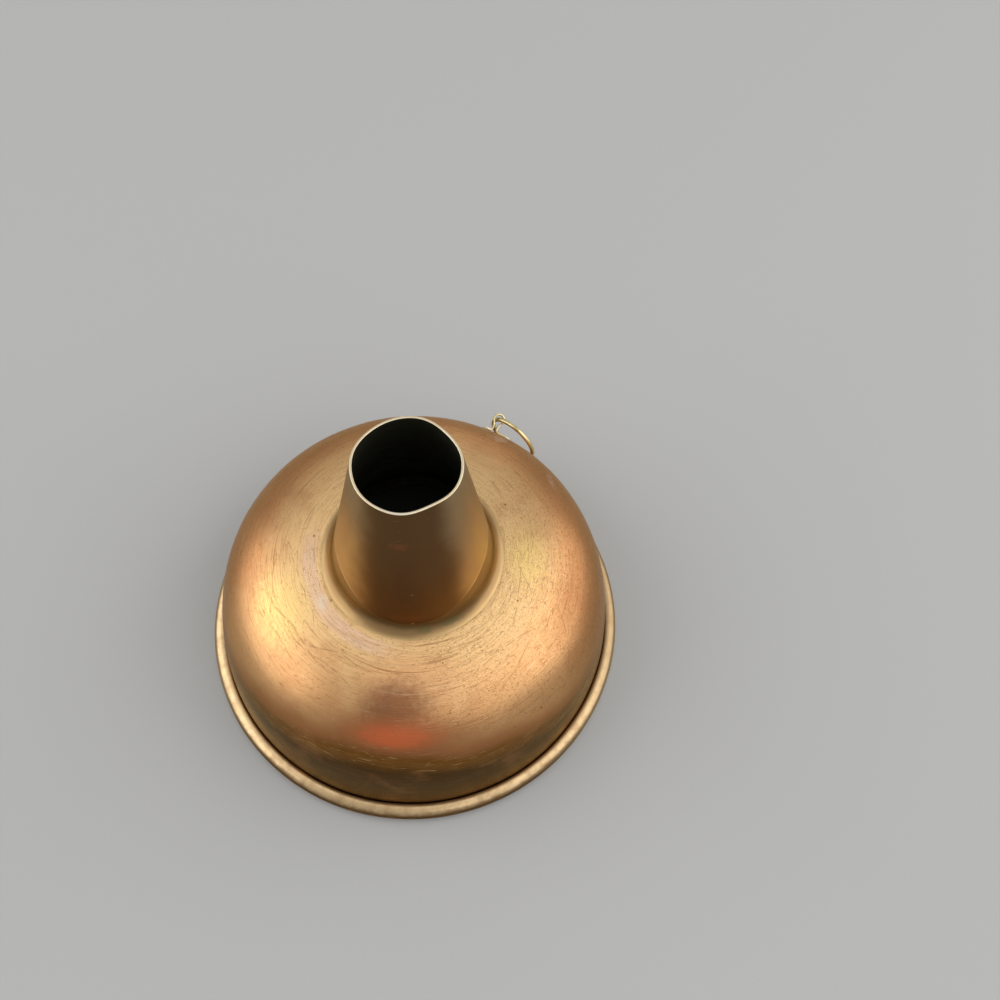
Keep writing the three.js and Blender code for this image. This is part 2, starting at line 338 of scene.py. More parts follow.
def cutGroup():  # one long thin cut between two points, seen from above
    tree, given, out = newGroup("cut", {"Position": None, "From": None, "To": None, "Width": 0.15})
    fromAbove = vectorCalc(tree, "MULTIPLY", given["Position"], (1000, 1000, 0))
    place = addWander(tree, fromAbove, 0.12, 0.5, 3.5)
    away = vectorCalc(tree, "SUBTRACT", place, given["From"])
    run = vectorCalc(tree, "SUBTRACT", given["To"], given["From"])
    reached = vectorCalc(tree, "DOT_PRODUCT", away, run, output="Value")
    share = calc(tree, "DIVIDE", reached, vectorCalc(tree, "DOT_PRODUCT", run, run, output="Value"))
    inside = addNode(tree, "Clamp", {"Value": share, "Min": 0.0, "Max": 1.0}).outputs[0]
    distance = vectorCalc(tree, "DISTANCE", away, scaleBy(tree, run, inside), output="Value")
    line = remap(tree, calc(tree, "DIVIDE", distance, given["Width"]), 0.6, 0.2)
    worn = addGrain(tree, place, 0.5, 2.0)[0]
    tree.links.new(times(tree, line, remap(tree, worn, 0.34, 0.56)), out["Mask"])
    return tree


def specksGroup():  # small scattered spots
    tree, given, out = newGroup("specks", {"Position": None, "Size": 500.0, "Radius": 0.2, "Share": 0.2})
    cells = addNode(tree, "TexVoronoi", {"Vector": given["Position"], "Scale": given["Size"]}).outputs
    near = calc(tree, "LESS_THAN", cells["Distance"], given["Radius"])
    pick = addNode(tree, "SeparateColor", {0: cells["Color"]}).outputs[0]
    tree.links.new(times(tree, near, calc(tree, "LESS_THAN", pick, given["Share"])), out["Mask"])
    return tree


unrolled = unrolledGroup()
turningLines = turningLinesGroup()
scratches = scratchesGroup()
etching = etchingGroup()
tarnish = tarnishGroup()
spot = spotGroup()
cut = cutGroup()
specks = specksGroup()


warmTint = (0.92, 0.83, 0.64, 1)  # keeps the metal warm where it is seen at a low angle


def newMaterial(name):
    material = bpy.data.materials.new(name)
    material.use_nodes = True
    tree = material.node_tree
    tree.nodes.clear()
    place = tree.nodes.new("ShaderNodeTexCoord").outputs["Object"]
    shader = tree.nodes.new("ShaderNodeBsdfPrincipled")
    shader.inputs["Metallic"].default_value = 1.0
    shader.inputs["Specular Tint"].default_value = warmTint
    output = tree.nodes.new("ShaderNodeOutputMaterial")
    tree.links.new(shader.outputs[0], output.inputs["Surface"])
    return material, tree, place, shader


def connect(tree, shader, colour, rough, relief, strength, depth):  # depth in metres
    tree.links.new(colour, shader.inputs["Base Color"])
    tree.links.new(rough, shader.inputs["Roughness"])
    bump = addNode(tree, "Bump", {"Height": relief, "Strength": strength, "Distance": depth})
    tree.links.new(bump.outputs[0], shader.inputs["Normal"])


def addClouds(tree, position, size, low, high):
    return useGroup(tree, tarnish, {"Position": position, "Size": size, "Low": low, "High": high})["Mask"]


def addStains(tree, position, colour, stains):  # a stain: centre, reach, ragged, colour, strength
    for centre, reach, ragged, stainColour, strength in stains.values():
        values = {"Position": position, "Centre": centre, "Reach": reach, "Ragged": ragged}
        mask = useGroup(tree, spot, values)["Mask"]
        colour = blend(tree, times(tree, mask, strength), colour, stainColour)
    return colour


def addLines(tree, flat, perMm, breaks, low=0.3, high=0.7):
    values = {"Lines per mm": perMm, "Breaks": breaks, "Low": low, "High": high}
    values.update({"Outward": flat["Outward"], "Along": flat["Along"]})
    return useGroup(tree, turningLines, values)["Lines"]


def addEtching(tree, flat, perMm, stretch, width, share):
    values = {"Place": flat["Place"], "Per mm": perMm, "Stretch": stretch, "Width": width, "Share": share}
    return useGroup(tree, etching, values)["Mask"]


def addScratches(tree, flat, angle, length, width, share):
    values = {"Place": flat["Place"], "Angle": angle, "Length": length, "Width": width, "Share": share}
    return useGroup(tree, scratches, values)["Mask"]


def towards(tree, outward, azimuth):  # 1 on the side that faces the azimuth, -1 on the other
    turn = math.radians(azimuth)
    way = (math.cos(turn), math.sin(turn), 0)
    return vectorCalc(tree, "DOT_PRODUCT", outward, way, output="Value")


# Bowl: spun copper, with a collar inside the spout's foot and a rim rolled over a wire
bowlLook = {
    # gold: partly a painted highlight near the neck
    "gold": (0.95, 0.63, 0.30, 1),
    "copper": (0.70, 0.385, 0.17, 1),
    "brown": (0.46, 0.20, 0.08, 1),
    # low and wall: tarnish with painted shade, a painted dark reflection of the floor on the wall
    "low": (0.22, 0.088, 0.017, 1),
    "wall": (0.062, 0.021, 0.004, 1),
    # olive: painted shade in the neck's hollow
    "olive": (0.42, 0.28, 0.13, 1),
    "pink": (0.80, 0.55, 0.44, 1),
    "pale": (0.80, 0.76, 0.66, 1),
    # red and wideRed: colours of a painted reflection of something red in front
    "red": (0.86, 0.20, 0.075, 1),
    "wideRed": (0.40, 0.15, 0.06, 1),
    "dullRed": (0.31, 0.125, 0.06, 1),
    # deepGold: the colour of painted highlights on the left and right
    "deepGold": (1.0, 0.72, 0.26, 1),
    "warm": (0.86, 0.47, 0.22, 1),
    "mark": (0.25, 0.095, 0.028, 1),
    "brightMark": (0.98, 0.82, 0.58, 1),
    # streak: the colour of scratches painted bright as glints
    "streak": (0.62, 0.40, 0.17, 1),
    "roughness": 0.27,
    "goldReach": (35.0, 22.0),  # distance from the axis where the gold, partly a painted highlight, starts and is full
    "tarnishAndShadeLine": 19.8,  # height on the wall where the dark tarnish and painted shade start behind
    "tarnishAndShadeTilt": 12.0,  # how much higher it starts in front
    "tarnishAndShadeFront": -104,  # azimuth where it is highest
}
bowlBands = {  # height over the line of tarnish and painted shade where each colour starts and is full
    "brown": (4.6, -0.5),
    "low": (0.5, -4.0),
    "wall": (-4.5, -9.0),
}

bowlStains = {
    # The next two stains are painted highlights
    "painted highlight on the left": ((-29.0, -9.5, 37.0), (9.0, 12.0, 6.0), 0.15, bowlLook["deepGold"], 0.6),
    "painted highlight on the right": ((24.5, -3.5, 38.0), (6.5, 10.0, 5.0), 0.15, bowlLook["deepGold"], 0.6),
    "warm front": ((-3.0, -28.0, 37.5), (17.0, 9.0, 6.0), 0.15, bowlLook["warm"], 0.7),
    "dull red in front": ((-6.2, -32.5, 35.8), (10.0, 8.0, 5.2), 0.14, bowlLook["dullRed"], 0.8),
    "left light streak": ((-15.2, -28.0, 36.8), (2.4, 8.0, 4.0), 0.12, bowlLook["gold"], 0.28),
    "right light streak": ((6.8, -32.0, 36.2), (2.8, 8.0, 4.0), 0.12, bowlLook["gold"], 0.28),
    # The next three stains are a painted reflection of something red, not a stain
    "wide red reflection in front": ((-5.6, -38.0, 32.4), (19.0, 12.0, 6.0), 0.08, bowlLook["wideRed"], 0.7),
    "painted red reflection in front": ((-6.8, -38.2, 32.3), (14.0, 9.5, 3.8), 0.10, bowlLook["red"], 0.5),
    "middle of the red reflection": ((-7.2, -38.3, 32.2), (9.0, 6.0, 2.4), 0.10, bowlLook["red"], 0.7),
    "pale patch by the neck": ((-19.8, -9.5, 38.2), (1.6, 2.2, 2.0), 0.25, bowlLook["pale"], 0.35),
    "solder smear by the hanger": ((22.6, 30.2, 33.0), (3.2, 2.2, 2.4), 0.5, bowlLook["pink"], 0.5),
    "scuff under the ring": ((33.4, 18.6, 32.9), (1.3, 5.4, 1.5), 0.5, bowlLook["pink"], 0.4),
}
bowlArcs = [  # fine arcs of the spinning: count per mm, stretch, width, share and strength
    (0.75, 0.040, 0.010, 0.56, 0.6),
    (1.7, 0.06, 0.014, 0.55, 0.5),
]
bowlEtching = {"perMm": 2.0, "stretch": 0.50, "width": 0.032, "strength": 0.75, "share": (0.44, 0.72)}
bowlScratches = [  # angle, length, width and share
    (-0.30, 9.0, 0.12, 0.16),
    (0.65, 6.0, 0.12, 0.12),
    (-1.1, 5.0, 0.11, 0.10),
]
longCuts = [  # ends on the crown, and the width
    ((-32.5, -4.0, 0), (-18.5, -25.0, 0), 0.34),
    ((-33.5, -8.0, 0), (-25.0, -21.5, 0), 0.26),
    ((-27.0, 6.0, 0), (-21.5, -14.0, 0), 0.26),
    ((-29.5, 4.0, 0), (-31.0, -15.0, 0), 0.22),
    ((-24.0, -17.0, 0), (-11.0, -25.5, 0), 0.30),
    ((-27.5, -14.0, 0), (-15.0, -27.5, 0), 0.26),
    ((22.0, 3.0, 0), (24.5, -12.0, 0), 0.26),
    ((27.0, 6.0, 0), (20.0, -18.0, 0), 0.24),
    ((33.0, -10.0, 0), (16.0, -31.0, 0), 0.26),
    ((30.5, -12.0, 0), (31.5, -27.0, 0), 0.24),
    ((14.0, -20.0, 0), (1.0, -24.5, 0), 0.26),
    ((12.5, -26.0, 0), (24.0, -19.0, 0), 0.26),
]


def bowlColour(tree, position, flat, lines, front, above):
    # Gold near the neck, partly a painted highlight, copper over the crown, brown over the shoulder with
    # painted shade behind, and painted shade with tarnish darkening the wall
    gold = times(tree, remap(tree, flat["Radius"], *bowlLook["goldReach"]), 0.95)
    colour = blend(tree, gold, bowlLook["copper"], bowlLook["gold"])
    # Painted shade: the back of the shoulder is darkened towards brown
    behind = times(tree, remap(tree, front, 0.6, 0.1), remap(tree, flat["Radius"], 30.0, 36.0))
    colour = blend(tree, times(tree, behind, 0.7), colour, bowlLook["brown"])
    # The bands darken the wall with painted shade over some tarnish, higher in front
    for name, (start, full) in bowlBands.items():
        colour = blend(tree, remap(tree, above, start, full), colour, bowlLook[name])
    brown = addClouds(tree, position, 95.0, 0.50, 0.72)
    colour = blend(tree, times(tree, brown, 0.35), colour, bowlLook["brown"])
    # Dark olive in the neck's hollow, a painted shade for its dark reflection of the spout, then a
    # pinkish ring on the left of the neck
    hollow = remap(tree, flat["Radius"], 20.6, 18.9)
    colour = blend(tree, times(tree, hollow, 0.9), colour, bowlLook["olive"])
    ring = times(tree, remap(tree, flat["Radius"], 20.4, 21.2), remap(tree, flat["Radius"], 24.8, 23.0))
    ring = times(tree, ring, remap(tree, towards(tree, flat["Outward"], -152), 0.55, 0.9))
    ring = times(tree, ring, remap(tree, lines, 0.0, 1.0, 0.55, 0.25))
    colour = blend(tree, ring, colour, bowlLook["pink"])
    colour = addStains(tree, position, colour, bowlStains)
    streaks = times(tree, lines, remap(tree, flat["Radius"], 40.0, 22.0, 0.13, 0.30))
    return blend(tree, streaks, colour, bowlLook["brown"])


def bowlMarks(tree, position, flat, onCrown):
    # Arcs of the spinning, dense etching on the right, and cuts in several directions
    etched = [times(tree, addEtching(tree, flat, *arcs[:4]), arcs[4]) for arcs in bowlArcs]
    share = remap(tree, towards(tree, flat["Outward"], -25), 0.25, 0.8, *bowlEtching["share"])
    right = addEtching(
        tree, flat, bowlEtching["perMm"], bowlEtching["stretch"], bowlEtching["width"], share
    )
    etched.append(times(tree, right, bowlEtching["strength"]))
    marks = [times(tree, strongest(tree, etched), onCrown)]
    for angle, length, width, share in bowlScratches:
        marks.append(times(tree, addScratches(tree, flat, angle, length, width, share), 0.6))
    for fromPoint, toPoint, width in longCuts:
        values = {"Position": position, "From": fromPoint, "To": toPoint, "Width": width}
        marks.append(times(tree, useGroup(tree, cut, values)["Mask"], onCrown, 0.55))
    return strongest(tree, marks)


def spunCopper():
    material, tree, position, shader = newMaterial("spun copper")
    flat = useGroup(tree, unrolled, {"Position": position})
    clouds = addClouds(tree, position, 55.0, 0.35, 0.68)
    lines = addLines(tree, flat, 3.6, 4.0, 0.50, 0.62)
    fine = addLines(tree, flat, 7.5, 12.0)
    # The line where the wall turns dark, tarnish with painted shade, rises towards the front
    front = calc(tree, "MAXIMUM", towards(tree, flat["Outward"], bowlLook["tarnishAndShadeFront"]), -0.1)
    tilt = times(tree, front, front, bowlLook["tarnishAndShadeTilt"])
    line = calc(tree, "ADD", tilt, bowlLook["tarnishAndShadeLine"])
    above = calc(tree, "SUBTRACT", calc(tree, "MULTIPLY_ADD", clouds, 1.6, flat["Height"]), line)
    onCrown = remap(tree, above, 1.5, 5.0)
    colour = bowlColour(tree, position, flat, lines, front, above)
    marks = bowlMarks(tree, position, flat, onCrown)
    rubbed = addEtching(tree, flat, 1.4, 0.035, 0.009, 0.60)
    colour = blend(tree, times(tree, rubbed, onCrown, 0.22), colour, bowlLook["brightMark"])
    colour = blend(tree, times(tree, marks, 0.8), colour, bowlLook["mark"])
    # Bright thin scratches, painted as glints, where the tarnish and painted shade start, fewer of them
    # behind
    bright = addEtching(tree, flat, 1.1, 0.14, 0.022, 0.56)
    band = times(tree, remap(tree, above, -8.5, -6.0), remap(tree, above, 0.5, -2.5))
    seen = remap(tree, front, 0.0, 0.5, 0.15, 0.7)
    colour = blend(tree, times(tree, bright, band, seen), colour, bowlLook["streak"])
    pits = {"Position": position, "Size": 330.0, "Radius": 0.10, "Share": 0.10}
    dots = useGroup(tree, specks, pits)["Mask"]
    colour = blend(tree, times(tree, dots, 0.7), colour, bowlLook["mark"])
    rough = calc(tree, "MULTIPLY_ADD", clouds, 0.06, bowlLook["roughness"])
    rough = calc(tree, "MULTIPLY_ADD", marks, 0.15, rough)
    relief = calc(tree, "MULTIPLY_ADD", fine, 0.35, times(tree, lines, 0.4))
    relief = calc(tree, "SUBTRACT", relief, times(tree, marks, 0.8))
    connect(tree, shader, colour, rough, relief, 0.4, 0.00004)
    return material


def plainMetal(name, colour, secondColour, roughness, size=150.0, bump=0.00005, mark=None):
    material, tree, position, shader = newMaterial(name)
    clouds = addClouds(tree, position, size, 0.38, 0.62)
    mixed = blend(tree, clouds, colour, secondColour)
    if mark:
        dots = addClouds(tree, position, size * 4, 0.60, 0.68)
        mixed = blend(tree, times(tree, dots, 0.6), mixed, mark)
    rough = calc(tree, "MULTIPLY_ADD", clouds, 0.10, roughness)
    connect(tree, shader, mixed, rough, clouds, 0.2, bump)
    return material


copperOutside = spunCopper()
# A dark copper for the inside
copperInside = plainMetal("dark copper inside", (0.17, 0.17, 0.12, 1), (0.11, 0.105, 0.07, 1), 0.45)
# The collar's edge is near black, a painted shade that keeps it from catching light
collarEdge = plainMetal("shaded collar edge", (0.020, 0.018, 0.012, 1), (0.012, 0.010, 0.007, 1), 0.7)

# Rim: rubbed bright on top, partly a painted highlight, most of all on the left, and browner on its outer
# face in front, where painted shade darkens it
rimLook = {
    "top": (0.79, 0.56, 0.31, 1),
    "topBehind": (0.46, 0.32, 0.17, 1),
    "side": (0.50, 0.36, 0.20, 1),
    # front: painted shade on the outer face in front
    "front": (0.115, 0.050, 0.015, 1),
    "mottle": (0.38, 0.23, 0.11, 1),
    "roughness": 0.28,
}


def handledCopper():
    material, tree, position, shader = newMaterial("handled rim copper")
    flat = useGroup(tree, unrolled, {"Position": position})
    clouds = addClouds(tree, position, 420.0, 0.36, 0.70)
    # Painted shade darkens the outer face in front
    front = remap(tree, towards(tree, flat["Outward"], -100), 0.35, 0.9)
    colour = blend(tree, front, rimLook["side"], rimLook["front"])
    height = calc(tree, "MULTIPLY_ADD", clouds, -0.35, flat["Height"])
    # The bright top is rubbed wear, partly a painted highlight
    rubbed = remap(tree, towards(tree, flat["Outward"], -125), -0.5, 0.85)
    top = blend(tree, rubbed, rimLook["topBehind"], rimLook["top"])
    colour = blend(tree, remap(tree, height, 3.0, 4.4), colour, top)
    colour = blend(tree, times(tree, clouds, 0.4), colour, rimLook["mottle"])
    rough = calc(tree, "MULTIPLY_ADD", clouds, 0.10, rimLook["roughness"])
    connect(tree, shader, colour, rough, clouds, 0.2, 0.00005)
    return material


rimCopper = handledCopper()

# Shapes of the bowl and the spout, in millimetres
bowlShape = {
    "sheet": 0.5,
    "gap": 0.3,
    "beadDiameter": 4.5,
    "wallInset": 0.98,
    "wallRootHeight": 0.2,
    "curlTopHandle": 0.8,
    "curlSideHandle": 0.7,
    "wallLean": 5.4,
    "wallHandle": 28.8,
    "crownSlope": 3.3,
    "crownHandle": 19.15,
    "neckRise": 1.9,
    "neckSpread": 1.6,
    "neckHandle": 1.5,
    "collarHeight": 5.0,
    "wave": 0.10,  # how far the hand-worked wall strays from a true round
    "dimple": 0.02,
    "waveStart": 19,  # the neck inside this radius stays true
    "neckSteps": 14,
    "wallSteps": 110,
    "curlSteps": 56,
    "hiddenCurlSteps": 14,  # the first of them, which are as dark as the inside
    "collarSteps": 4,
    "turnInSteps": 8,
    "roundSteps": 288,
}
spoutShape = {
    "footRadius": 17.4,
    "tipRadius": 10.15,
    "sheet": 0.5,
    "soften": 0.12,  # the rounding of its edges
    "steps": 60,
    "roundSteps": 240,
}
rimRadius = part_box("bowl")[1].x / mm
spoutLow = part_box("spout")[0].z / mm
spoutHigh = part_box("spout")[1].z / mm


def spoutOuter(height):
    share = (height - spoutLow) / (spoutHigh - spoutLow)
    return spoutShape["footRadius"] + (spoutShape["tipRadius"] - spoutShape["footRadius"]) * share


beadRadius = bowlShape["beadDiameter"] / 2
beadCentre = Vector((rimRadius - beadRadius, beadRadius))
wallRoot = Vector((beadCentre.x - bowlShape["wallInset"], 2 * beadRadius + bowlShape["wallRootHeight"]))
crownEdge = Vector((spoutShape["footRadius"] + bowlShape["neckSpread"], spoutLow - bowlShape["neckRise"]))
inset = spoutShape["sheet"] + bowlShape["gap"]
collarFoot = Vector((spoutOuter(spoutLow) - inset, spoutLow))
collarHigh = spoutLow + bowlShape["collarHeight"]
collarTop = Vector((spoutOuter(collarHigh) - inset, collarHigh))
collarRun = (collarFoot - collarTop).normalized()
crownTurn = math.radians(bowlShape["crownSlope"])
crownRun = Vector((math.cos(crownTurn), -math.sin(crownTurn)))
wallTurn = math.radians(bowlShape["wallLean"])
wallRun = Vector((math.sin(wallTurn), -math.cos(wallTurn)))
bowlHandles = (
    crownEdge,
    crownEdge + crownRun * bowlShape["crownHandle"],
    wallRoot - wallRun * bowlShape["wallHandle"],
    wallRoot,
)


def neckFace(steps):
    return cubic(
        collarFoot,
        collarFoot + collarRun * bowlShape["neckHandle"],
        crownEdge - crownRun * bowlShape["neckHandle"],
        crownEdge,
        steps,
    )


def outerFace(neckSteps):  # from the collar's foot over the crown to the wall's root
    return neckFace(neckSteps) + cubic(*bowlHandles, bowlShape["wallSteps"])[1:]


def makeBowl():
    sheet = bowlShape["sheet"]
    hug = beadRadius - sheet
    reach = (wallRoot.x + bowlShape["gap"] - beadCentre.x) / beadRadius
    curlEnd = 360 + math.degrees(math.acos(reach))
    joinPoint = beadCentre + Vector((-hug, 0))
    turnIn = cubic(
        wallRoot,
        wallRoot + wallRun * bowlShape["curlTopHandle"],
        joinPoint + Vector((0, bowlShape["curlSideHandle"])),
        joinPoint,
        bowlShape["turnInSteps"],
    )
    steps = bowlShape["collarSteps"]
    collar = [collarTop.lerp(collarFoot, i / steps) for i in range(steps)]
    upper = collar + outerFace(bowlShape["neckSteps"])
    face = upper + turnIn[1:] + arc(beadCentre, hug, 180, curlEnd, bowlShape["curlSteps"])[1:]
    back = beside(face, -sheet)
    materials = [copperOutside, copperInside, rimCopper, collarEdge]
    outside, inside, rim, edge = range(len(materials))
    bottom = len(upper) + len(turnIn) - 1 + bowlShape["hiddenCurlSteps"]
    section = [(p.x, p.y, outside if i < len(upper) else inside) for i, p in enumerate(face)]
    section += [(p.x, p.y, rim) for p in roundEnd(face[-1], back[-1])]
    for i in reversed(range(len(back))):
        section.append((back[i].x, back[i].y, rim if i > bottom else inside))
    # The collar's top edge gets the painted shade
    section += [(p.x, p.y, edge) for p in roundEnd(back[0], face[0])]

    def warp(point):
        radius = math.hypot(point.x, point.y)
        wave = (0.5 + softNoise(point, 14, 3.1)) * bowlShape["wave"]
        wave += (0.5 + softNoise(point, 5, 8.7)) * bowlShape["dimple"]
        share = min(max((radius - bowlShape["waveStart"]) / 4, 0), 1)
        pull = wave * share / radius
        drop = wave * share * 0.6 * min(point.z / 20, 1)
        return Vector((point.x * (1 - pull), point.y * (1 - pull), point.z - drop))

    points, faces, slots = turnedMesh(section, bowlShape["roundSteps"], warp)
    return makePiece("copper_bowl", points, faces, materials, "bowl", slots)


bowl = makeBowl()
print("bowl made:", len(bowl.data.vertices), "points")

# Rim wire: hidden in the curl, seen only through the crevice
wireMaterial = plainMetal("rim wire iron", (0.16, 0.13, 0.11, 1), (0.09, 0.07, 0.06, 1), 0.5)
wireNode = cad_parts["rim_wire"]
wireNode.data.materials.clear()
wireNode.data.materials.append(wireMaterial)

# Spout: a taper, out of round towards the tip, dark in front with painted shade
spoutLook = {
    # dark: painted shade on the spout's front
    "dark": (0.142, 0.077, 0.034, 1),
    "tan": (0.36, 0.255, 0.145, 1),
    "behind": (0.40, 0.225, 0.11, 1),
    "red": (0.25, 0.095, 0.045, 1),
    "scratch": (0.45, 0.32, 0.17, 1),
    # The next two colours are painted shade over the joint and a painted highlight along its edge
    "foot": (0.19, 0.13, 0.07, 1),
    "footHighlight": (0.62, 0.46, 0.24, 1),
    "footShadeRise": 7.2,  # how far the painted shade of the joint climbs on the two sides
    "footEdgeWidth": 0.4,
    "roughness": 0.32,
}
spoutScratches = [  # angle, length, width and share
    (0.12, 6.0, 0.11, 0.10),
    (-0.35, 3.5, 0.10, 0.08),
]
spoutStains = {
    "small red mark": ((-2.7, -11.6, 67.6), (2.4, 2.0, 1.5), 0.3, spoutLook["red"], 0.7),
    "red at the foot": ((-2.0, -17.0, 43.0), (7.0, 4.0, 2.2), 0.3, spoutLook["red"], 0.35),
    "pale speck": ((-0.9, -15.0, 51.8), (0.35, 0.35, 0.35), 0.1, spoutLook["scratch"], 0.8),
    "pale speck at the foot": ((-1.3, -17.2, 41.2), (0.5, 0.6, 0.5), 0.3, spoutLook["scratch"], 0.9),
}
spoutTip = {  # waves round the tip: count, height in millimetres and place in degrees
    "oval": (2, 0.14, 22),
    "three sided": (3, 0.12, -18),
    "four sided": (4, 0.15, -18),
    "fine six": (6, 0.043, 20),
    "fine seven": (7, 0.043, 9),
}


def darkCopper():
    material, tree, position, shader = newMaterial("dark copper")
    flat = useGroup(tree, unrolled, {"Position": position})
    clouds = addClouds(tree, position, 60.0, 0.30, 0.70)
    front = calc(tree, "MULTIPLY_ADD", clouds, 0.10, towards(tree, flat["Outward"], -96))
    colour = blend(tree, remap(tree, front, -0.1, -0.8), spoutLook["tan"], spoutLook["behind"])
    # Painted shade darkens the spout's front
    colour = blend(tree, remap(tree, front, 0.60, 0.96), colour, spoutLook["dark"])
    colour = addStains(tree, position, colour, spoutStains)
    # Painted shade over the joint: low in front, high on both sides, with a painted highlight along its
    # edge
    side = towards(tree, flat["Outward"], -97)
    facing = calc(tree, "MAXIMUM", side, 0.0)
    wavy = calc(tree, "MULTIPLY_ADD", clouds, 0.6, spoutLow + 0.7 + spoutLook["footShadeRise"])
    top = calc(tree, "MULTIPLY_ADD", times(tree, facing, facing), -spoutLook["footShadeRise"], wavy)
    under = calc(tree, "DIVIDE", calc(tree, "SUBTRACT", top, flat["Height"]), spoutLook["footEdgeWidth"])
    colour = blend(tree, times(tree, remap(tree, under, 0.3, 1.3), 0.9), colour, spoutLook["foot"])
    edge = times(tree, remap(tree, under, -0.6, 0.1), remap(tree, under, 1.0, 0.3))
    edge = times(tree, edge, remap(tree, side, 0.85, 0.55), remap(tree, side, -0.5, -0.1))
    colour = blend(tree, times(tree, edge, 0.9), colour, spoutLook["footHighlight"])
    cuts = strongest(tree, [addScratches(tree, flat, *values) for values in spoutScratches])
    high = remap(tree, flat["Height"], 66.0, 71.0, 0.15, 0.8)
    colour = blend(tree, times(tree, cuts, high), colour, spoutLook["scratch"])
    rough = calc(tree, "MULTIPLY_ADD", clouds, 0.06, spoutLook["roughness"])
    fine = addLines(tree, flat, 5.0, 14.0)
    connect(tree, shader, colour, rough, fine, 0.2, 0.00002)
    return material


copperSpout = darkCopper()
edgeCopper = plainMetal("worn copper edge", (0.95, 0.84, 0.64, 1), (0.82, 0.68, 0.46, 1), 0.36)


def makeSpout():
    sheet = spoutShape["sheet"]
    foot = Vector((spoutOuter(spoutLow), spoutLow))
    tip = Vector((spoutOuter(spoutHigh), spoutHigh))
    soften = spoutShape["soften"]
    corner = soften * 0.3
    face = [foot.lerp(tip, i / spoutShape["steps"]) for i in range(spoutShape["steps"] + 1)]
    face[0] += Vector((0, soften))
    face[-1] -= Vector((0, soften))
    materials = [copperSpout, copperInside, edgeCopper]
    outside, inside, edge = range(len(materials))
    section = [(p.x, p.y, outside) for p in face[:-1]]
    section += [(face[-1].x, face[-1].y, edge)]
    section += [(tip.x - corner, spoutHigh - corner, edge), (tip.x - soften, spoutHigh, edge)]
    inner = tip.x - sheet
    section += [(inner + soften, spoutHigh, edge), (inner + corner, spoutHigh - corner, edge)]
    section += [(p.x - sheet, p.y, inside) for p in reversed(face)]
    section += [(foot.x - sheet + soften, spoutLow, inside), (foot.x - soften, spoutLow, inside)]

    def warp(point):
        radius = math.hypot(point.x, point.y)
        turn = math.atan2(point.y, point.x)
        level = (point.z - spoutLow) / (spoutHigh - spoutLow)
        proud = 0
        for count, size, angle in spoutTip.values():
            proud += size * math.cos(count * (turn - math.radians(angle)))
        pushed = 1 + (proud * level * level + softNoise(point, 9, 5.3) * 0.05) / radius
        return Vector((point.x * pushed, point.y * pushed, point.z))

    points, faces, slots = turnedMesh(section, spoutShape["roundSteps"], warp)
    return makePiece("tapered_spout", points, faces, materials, "spout", slots)


makeSpout()
print("spout made")

# Solder round the spout's foot: a hollow from the spout down to the crown
solderShape = {
    "rise": 1.0,
    "spread": 2.7,
    "lump": 0.07,
    "sink": 0.03,  # its back lies this deep in the copper, so that no gap shows
    "topHandle": (0.30, -1.15),
    "edgeHandle": 1.5,
    "neckSteps": 60,
    "steps": 24,
}
solderLook = {
    "gold": (0.66, 0.44, 0.20, 1),
    "brown": (0.38, 0.235, 0.105, 1),
    "olive": (0.17, 0.115, 0.052, 1),
    "verdigris": (0.15, 0.16, 0.07, 1),
}
solderStains = {
    "verdigris front right": ((6.6, -16.6, 39.6), (4.0, 1.6, 1.2), 0.6, solderLook["verdigris"], 0.5),
    "verdigris front": ((1.0, -17.9, 39.5), (2.6, 1.6, 1.2), 0.5, solderLook["verdigris"], 0.4),
}


def creaseSolderMaterial():
    material, tree, position, shader = newMaterial("tarnished solder")
    flat = useGroup(tree, unrolled, {"Position": position})
    clouds = addClouds(tree, position, 160.0, 0.35, 0.65)
    height = calc(tree, "MULTIPLY_ADD", clouds, 0.25, flat["Height"])
    high = remap(tree, height, spoutLow - 1.2, spoutLow + 0.4)
    colour = blend(tree, high, solderLook["brown"], solderLook["olive"])
    colour = blend(tree, remap(tree, flat["Radius"], 18.7, 20.1), colour, solderLook["gold"])
    colour = addStains(tree, position, colour, solderStains)
    rough = calc(tree, "MULTIPLY_ADD", clouds, 0.08, 0.30)
    connect(tree, shader, colour, rough, clouds, 0.2, 0.00005)
    return material


creaseSolder = creaseSolderMaterial()


def makeSpoutSolder():
    rise = solderShape["rise"]
    sink = -solderShape["sink"]
    top = Vector((spoutOuter(spoutLow + rise) + sink, spoutLow + rise))
    near = spoutShape["footRadius"] - 0.1
    far = spoutShape["footRadius"] + solderShape["spread"]
    seat = [p for p in beside(outerFace(solderShape["neckSteps"]), sink) if near < p.x < far]
    edge = seat[-1]
    topHandle = top + Vector(solderShape["topHandle"])
    edgeHandle = edge - crownRun * solderShape["edgeHandle"]
    outer = cubic(top, topHandle, edgeHandle, edge, solderShape["steps"])
    section = [(p.x, p.y, 0) for p in reversed(outer)]
    section += [(spoutOuter(spoutLow) + sink, spoutLow, 0)]
    section += [(p.x, p.y, 0) for p in seat[:-1]]

    def warp(point):
        radius = math.hypot(point.x, point.y)
        share = min(max((point.z - spoutLow + 1.2) / 1.2, 0), 1)
        pushed = 1 + softNoise(point, 2.4, 2.2) * solderShape["lump"] * share / radius
        return Vector((point.x * pushed, point.y * pushed, point.z))

    points, faces, slots = turnedMesh(section, bowlShape["roundSteps"], warp)
    return makePiece("spout_seam_solder", points, faces, [creaseSolder], "spout_solder", slots)


makeSpoutSolder()
print("spout solder made")

